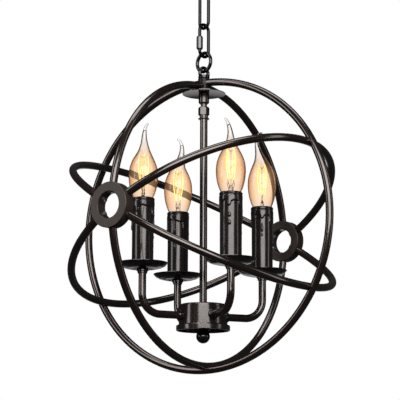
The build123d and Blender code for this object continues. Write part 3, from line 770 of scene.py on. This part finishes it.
def bulb_inside(i):
    cx, cy = CXY[i]
    body, rnd = f"bulb_{i}", random.Random(100 + i)
    turn = math.radians(CAND_AZ[i]) + rnd.uniform(0, 1)
    thread_shell(i)
    lathe(f"bulb_contact_{i}", [(0, -6.0), (1.7, -5.95), (2.3, -5.5), (2.45, -4.8), (2.3, -4.25), (0, -4.25)], cx, cy, TIN, body, 40,
          replaces=[f"bulb_{i}_base"])
    lathe(f"bulb_insulator_{i}", [(0, -4.2), (2.6, -4.2), (4.0, -3.5), (5.4, -2.4), (6.0, -1.6), (6.2, -1.15), (5.9, -0.9), (0, -0.9)], cx, cy, INSULATOR,
          body, 56)
    # flared glass foot, pinch and the thin rod that carries the upper hooks
    lathe(f"bulb_mount_{i}", [(0, 17.0), (5.0, 17.0), (5.2, 17.5), (4.4, 19.2), (3.1, 22.0), (2.35, 26.0), (2.1, 30.5), (2.5, 33.5), (2.3, 36.0), (1.1, 37.6),
                              (0.75, 39.0), (0.7, 60.0), (0.7, 80.0), (1.0, 81.2), (1.15, 82.2), (0.95, 83.2), (0, 83.7)], cx, cy, STEMGLASS, body, 32)

    def at(r, a, z):
        return P(cx + r * math.cos(a + turn), cy + r * math.sin(a + turn), z)

    # two lead wires out of the pinch
    for k, sgn in enumerate((0.0, math.pi)):
        pts = spline3([tuple(at(1.2, sgn, 34.0)), tuple(at(1.5, sgn, 37.2)), tuple(at(2.6, sgn + 0.15, 40.0)), tuple(at(3.6, sgn + 0.25, 43.2)),
                       tuple(at(4.0, sgn + 0.3, 45.4))], 6)
        tube_mesh(f"bulb_lead_{i}_{k + 1}", pts, 0.40, COPPER, body, 10)
        pts = spline3([tuple(at(3.4, sgn + 0.9, 19.9)), tuple(at(3.5, sgn + 0.9, 23.0)), tuple(at(3.3, sgn + 0.8, 27.0)), tuple(at(3.0, sgn + 0.6, 31.0)),
                       tuple(at(3.2, sgn + 0.4, 34.8)), tuple(at(4.4, sgn + 0.2, 38.6)), tuple(at(4.6, sgn + 0.1, 41.5))], 6)
        tube_mesh(f"bulb_tie_{i}_{k + 1}", pts, 0.36, COPPER, body, 10)
    # hooks: four high ones round the rod
    n_top = 4
    for k in range(n_top):
        a = 2 * math.pi * (k + 0.5) / n_top
        pts = spline3([tuple(at(0.5, a, 81.6)), tuple(at(2.2, a, 83.0)), tuple(at(4.4, a, 84.2)), tuple(at(5.3, a, 85.0)), tuple(at(5.5, a, 86.0))], 5)
        tube_mesh(f"bulb_hook_up_{i}_{k + 1}", pts, 0.16, COPPER, body, 8)
    # filament: one thread up and down between the hooks
    fil = []
    steps = n_top
    for k in range(steps):
        a_low = 2 * math.pi * k / steps + 0.3
        a_top = 2 * math.pi * (k + 0.5) / steps
        lowr = 3.9 if k in (0,) else 3.4
        fil.append((lowr, a_low, 45.6 if k == 0 else 46.8))
        fil.append((5.6, a_low + 0.20, 58.0))
        fil.append((6.9, a_top - 0.26, 72.0))
        fil.append((5.6, a_top - 0.05, 84.9))
        fil.append((5.6, a_top + 0.06, 84.9))
        fil.append((6.9, a_top + 0.28, 71.0))
        fil.append((5.5, a_top + 0.46, 57.0))
    fil.append((3.9, 2 * math.pi + 0.3 - 0.2, 45.6))
    pts = spline3([tuple(at(r, a, z)) for r, a, z in fil], 9)
    pts = [p + Vector((rnd.uniform(-1, 1), rnd.uniform(-1, 1), 0)) * 0.10 * MM for p in pts]
    fil_ob = tube_mesh(f"bulb_filament_{i}", pts, 0.26, GLOW, body, 8)
    fil_ob.visible_glossy = False
    fil_ob.visible_diffuse = False


for i in (1, 2, 3, 4):
    bulb_glass(i)
    bulb_inside(i)

# ------------------------------------------------------- floor, light, world
floor_me = bpy.data.meshes.new("floor")
S = 14.0
floor_me.from_pydata([(-S, -S, -1.55), (S, -S, -1.55), (S, S, -1.55), (-S, S, -1.55)], [], [(0, 1, 2, 3)])
floor = bpy.data.objects.new("floor", floor_me)
bpy.context.scene.collection.objects.link(floor)
fm = Mat("pale_floor")
fm.link(fm.ramp(fm.noise(1.5, 3.0), [(0.3, (0.86, 0.86, 0.86)), (0.7, (0.90, 0.90, 0.90))]), fm.bsdf.inputs["Base Color"])
fm.set(Roughness=0.8)
fm.bsdf.inputs["Emission Color"].default_value = (0.62, 0.62, 0.62, 1)      # stays pale from every side
fm.bsdf.inputs["Emission Strength"].default_value = 1.0
fm.m.cycles.emission_sampling = "NONE"
put(floor, fm.m)
floor.visible_glossy = False
floor.visible_diffuse = False
floor.visible_transmission = False

world = bpy.data.worlds.new("Studio")
bpy.context.scene.world = world
world.use_nodes = True
world.cycles.sampling_method = "NONE"
wt = world.node_tree
for nd in list(wt.nodes):
    wt.nodes.remove(nd)
wo = wt.nodes.new("ShaderNodeOutputWorld")
lp = wt.nodes.new("ShaderNodeLightPath")
tcw = wt.nodes.new("ShaderNodeTexCoord")
dot = wt.nodes.new("ShaderNodeVectorMath")
dot.operation = "DOT_PRODUCT"
dot.inputs[1].default_value = (-back.x, -back.y, back.z)      # the pale wall low behind the lamp, mirrored by flat undersides
wt.links.new(tcw.outputs["Generated"], dot.inputs[0])
rw = wt.nodes.new("ShaderNodeValToRGB")
rw.color_ramp.elements[0].position = 0.978
rw.color_ramp.elements[0].color = (0.035, 0.035, 0.036, 1)
rw.color_ramp.elements[1].position = 0.992
rw.color_ramp.elements[1].color = (0.42, 0.41, 0.41, 1)
mr = wt.nodes.new("ShaderNodeMapRange")
mr.inputs["From Min"].default_value = -1
mr.inputs["From Max"].default_value = 1
wt.links.new(dot.outputs["Value"], mr.inputs["Value"])
wt.links.new(mr.outputs["Result"], rw.inputs["Fac"])
env = wt.nodes.new("ShaderNodeBackground")
env.inputs["Strength"].default_value = 1.0
wt.links.new(rw.outputs["Color"], env.inputs["Color"])
white = wt.nodes.new("ShaderNodeBackground")
white.inputs["Color"].default_value = (1, 1, 1, 1)
white.inputs["Strength"].default_value = 1.0
bounced = wt.nodes.new("ShaderNodeMath")              # reflected at least once on the way
bounced.operation = "ADD"
wt.links.new(lp.outputs["Glossy Depth"], bounced.inputs[0])
wt.links.new(lp.outputs["Diffuse Depth"], bounced.inputs[1])
seen = wt.nodes.new("ShaderNodeMath")                 # seen straight on, or through glass
seen.operation = "LESS_THAN"
seen.inputs[1].default_value = 0.5
wt.links.new(bounced.outputs[0], seen.inputs[0])
mix = wt.nodes.new("ShaderNodeMixShader")
wt.links.new(seen.outputs[0], mix.inputs["Fac"])
wt.links.new(env.outputs[0], mix.inputs[1])
wt.links.new(white.outputs[0], mix.inputs[2])
wt.links.new(mix.outputs[0], wo.inputs["Surface"])


def area(name, loc, target, sx, sy, power, color=(1, 1, 1)):
    d = bpy.data.lights.new(name, "AREA")
    d.shape = "RECTANGLE"
    d.size, d.size_y = sx, sy
    d.energy = power
    d.color = color
    o = bpy.data.objects.new(name, d)
    bpy.context.scene.collection.objects.link(o)
    o.location = loc
    v = Vector(target) - Vector(loc)
    o.rotation_mode = "QUATERNION"
    o.rotation_quaternion = v.to_track_quat("-Z", "Y")
    o.visible_camera = False
    o.visible_transmission = False
    return o


O = Vector((0, 0, ZC))


def at_dir(az_deg, el_deg, dist):
    """A point seen from the orb's centre at an angle to the right of the camera and above the horizon."""
    a, e = math.radians(az_deg), math.radians(el_deg)
    return O + (TOCAM * math.cos(a) + RIGHT * math.sin(a)) * (math.cos(e) * dist) + Vector((0, 0, math.sin(e) * dist))


area("key_softbox", at_dir(4, 19, 1.7), O, 1.70, 1.10, 30)
area("top_softbox", at_dir(-15, 80, 1.6), O, 1.50, 0.60, 10)
area("left_softbox", at_dir(-72, 22, 1.7), O, 0.45, 1.5, 7)
area("right_softbox", at_dir(74, 12, 1.8), O, 0.35, 1.5, 3)
sc = bpy.context.scene
sc.view_settings.view_transform = "Standard"
sc.view_settings.look = "None"
sc.view_settings.exposure = 0.0
sc.view_settings.gamma = 1.0
sc.cycles.max_bounces = 14
sc.cycles.transmission_bounces = 12
sc.cycles.transparent_max_bounces = 12
sc.cycles.caustics_reflective = False
sc.cycles.caustics_refractive = False
